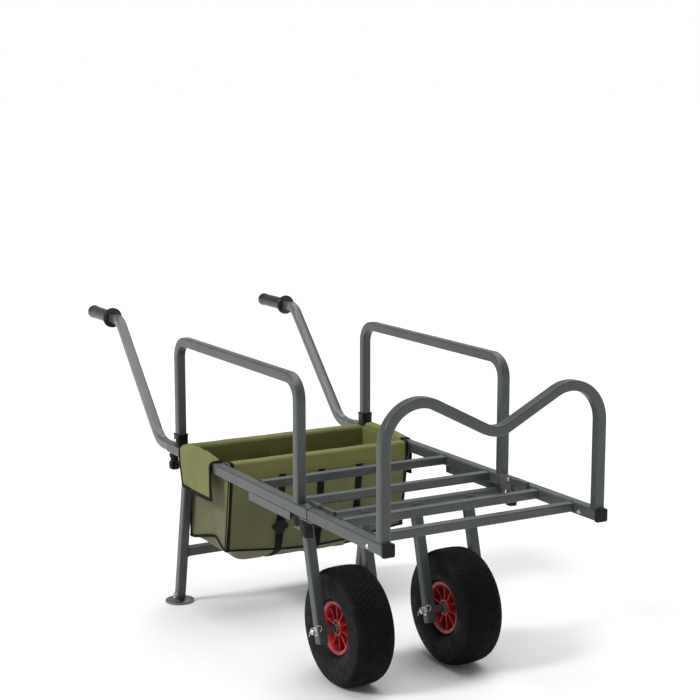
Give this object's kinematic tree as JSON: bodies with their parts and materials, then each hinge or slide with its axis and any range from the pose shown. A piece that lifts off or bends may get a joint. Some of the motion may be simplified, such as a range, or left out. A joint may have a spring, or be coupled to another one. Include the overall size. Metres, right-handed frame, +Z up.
{
  "type": "beach cart",
  "caption": "Square-tube beach cart with a folding front deck, lift-out side arches, twin wheels, sliding handles, fold-away legs and a hanging bag.",
  "frame": {"origin": "on the ground under the middle of the bounding box", "axes": "+Z up, -Y the front guard, +Y the handles, +X the cart's right as seen from the front deck looking to the handles"},
  "size_m": [0.595, 1.576, 0.6915],
  "materials": {
    "frame_paint": "satin grey-green powder coat",
    "zinc": "bright zinc plate",
    "black_plastic": "moulded, fine grain",
    "grip_rubber": "soft matt grip",
    "tyre_rubber": "matt tread rubber",
    "rim_plastic": "red, semi-gloss",
    "hub_plastic": "grey moulded bush",
    "canvas": "olive coated polyester weave",
    "webbing": "black woven webbing"
  },
  "bodies": {
    "frame": {"rear_rail_left": "frame_paint", "rear_rail_right": "frame_paint", "arch_collar_left": "black_plastic", "arch_collar_right": "black_plastic", "fork_bracket_left": "frame_paint", "fork_bracket_right": "frame_paint", "fold_bracket_left": "frame_paint", "fold_bracket_right": "frame_paint", "leg_bracket_left": "frame_paint", "leg_bracket_right": "frame_paint", "rear_slat_1": "frame_paint", "rear_slat_2": "frame_paint", "rear_slat_3": "frame_paint", "rear_cross_tube": "frame_paint", "bag": "canvas", "bag_strap_left": "webbing", "bag_strap_centre": "webbing", "bag_strap_right": "webbing"},
    "front_deck": {"front_rail_left": "frame_paint", "front_rail_right": "frame_paint", "end_cap_left": "black_plastic", "end_cap_right": "black_plastic", "deck_bolt_left": "zinc", "deck_bolt_right": "zinc", "front_slat_1": "frame_paint", "front_slat_2": "frame_paint", "front_guard": "frame_paint"},
    "wheel_frame": {"fork_pivot_tube": "frame_paint", "fork_leg_left_a": "frame_paint", "fork_leg_left_b": "frame_paint", "fork_leg_right_a": "frame_paint", "fork_leg_right_b": "frame_paint", "axle_left": "zinc", "axle_right": "zinc"},
    "rear_legs": {"rear_leg_left": "frame_paint", "rear_leg_right": "frame_paint", "leg_crossbar": "frame_paint"},
    "wheel_left": {"tyre_left": "tyre_rubber", "rim_left": "rim_plastic", "hub_bush_left": "hub_plastic", "inner_tube_left": "tyre_rubber"},
    "clip_left": {"axle_clip_left": "zinc"},
    "arch_body_left": {"arch_left": "frame_paint"},
    "handle_left": {"handle_tube_left": "frame_paint", "handle_grip_left": "grip_rubber"},
    "handle_knob_body_left": {"handle_knob_left": "black_plastic"},
    "fold_knob_body_left": {"fold_knob_left": "black_plastic"},
    "foot_body_left": {"foot_left": "zinc"},
    "wheel_right": {"tyre_right": "tyre_rubber", "rim_right": "rim_plastic", "hub_bush_right": "hub_plastic", "inner_tube_right": "tyre_rubber"},
    "clip_right": {"axle_clip_right": "zinc"},
    "arch_body_right": {"arch_right": "frame_paint"},
    "handle_right": {"handle_tube_right": "frame_paint", "handle_grip_right": "grip_rubber"},
    "handle_knob_body_right": {"handle_knob_right": "black_plastic"},
    "fold_knob_body_right": {"fold_knob_right": "black_plastic"},
    "foot_body_right": {"foot_right": "zinc"}
  },
  "joints": [
    {"name": "front_deck_fold", "type": "hinge", "parent": "frame", "child": "front_deck", "pos_m": [0, -0.474, 0.402], "axis": [-1, 0, 0], "range_deg": [0, 70]},
    {"name": "wheel_frame_fold", "type": "hinge", "parent": "frame", "child": "wheel_frame", "pos_m": [0, -0.412, 0.36], "axis": [1, 0, 0], "range_deg": [0, 70]},
    {"name": "rear_legs_fold", "type": "hinge", "parent": "frame", "child": "rear_legs", "pos_m": [0, 0.158, 0.362], "axis": [-1, 0, 0], "range_deg": [0, 26]},
    {"name": "wheel_spin_left", "type": "hinge", "parent": "wheel_frame", "child": "wheel_left", "pos_m": [-0.171, -0.473, 0.13], "axis": [1, 0, 0], "continuous": true},
    {"name": "axle_clip_pull_left", "type": "slide", "parent": "wheel_frame", "child": "clip_left", "axis": [0, -0.9539, 0.3], "range_m": [0, 0.03]},
    {"name": "arch_lift_left", "type": "slide", "parent": "frame", "child": "arch_body_left", "axis": [0, 0, 1], "range_m": [0, 0.035]},
    {"name": "handle_slide_left", "type": "slide", "parent": "frame", "child": "handle_left", "axis": [0, 1, 0], "range_m": [-0.03, 0.09]},
    {"name": "handle_knob_turn_left", "type": "hinge", "parent": "frame", "child": "handle_knob_body_left", "pos_m": [-0.26, 0.247, 0.355], "axis": [0, 0, 1], "range_deg": [0, 360]},
    {"name": "fold_knob_turn_left", "type": "hinge", "parent": "frame", "child": "fold_knob_body_left", "pos_m": [-0.262, -0.458, 0.354], "axis": [0, 0, 1], "range_deg": [0, 360]},
    {"name": "foot_slide_left", "type": "slide", "parent": "rear_legs", "child": "foot_body_left", "axis": [0, 0.1794, -0.9838], "range_m": [0, 0.08]},
    {"name": "wheel_spin_right", "type": "hinge", "parent": "wheel_frame", "child": "wheel_right", "pos_m": [0.103, -0.473, 0.13], "axis": [1, 0, 0], "continuous": true},
    {"name": "axle_clip_pull_right", "type": "slide", "parent": "wheel_frame", "child": "clip_right", "axis": [0, -0.9539, 0.3], "range_m": [0, 0.03]},
    {"name": "arch_lift_right", "type": "slide", "parent": "frame", "child": "arch_body_right", "axis": [0, 0, 1], "range_m": [0, 0.035]},
    {"name": "handle_slide_right", "type": "slide", "parent": "frame", "child": "handle_right", "axis": [0, 1, 0], "range_m": [-0.03, 0.09]},
    {"name": "handle_knob_turn_right", "type": "hinge", "parent": "frame", "child": "handle_knob_body_right", "pos_m": [0.26, 0.247, 0.355], "axis": [0, 0, 1], "range_deg": [0, 360]},
    {"name": "fold_knob_turn_right", "type": "hinge", "parent": "frame", "child": "fold_knob_body_right", "pos_m": [0.262, -0.458, 0.354], "axis": [0, 0, 1], "range_deg": [0, 360]},
    {"name": "foot_slide_right", "type": "slide", "parent": "rear_legs", "child": "foot_body_right", "axis": [0, 0.1794, -0.9838], "range_m": [0, 0.08]}
  ]
}
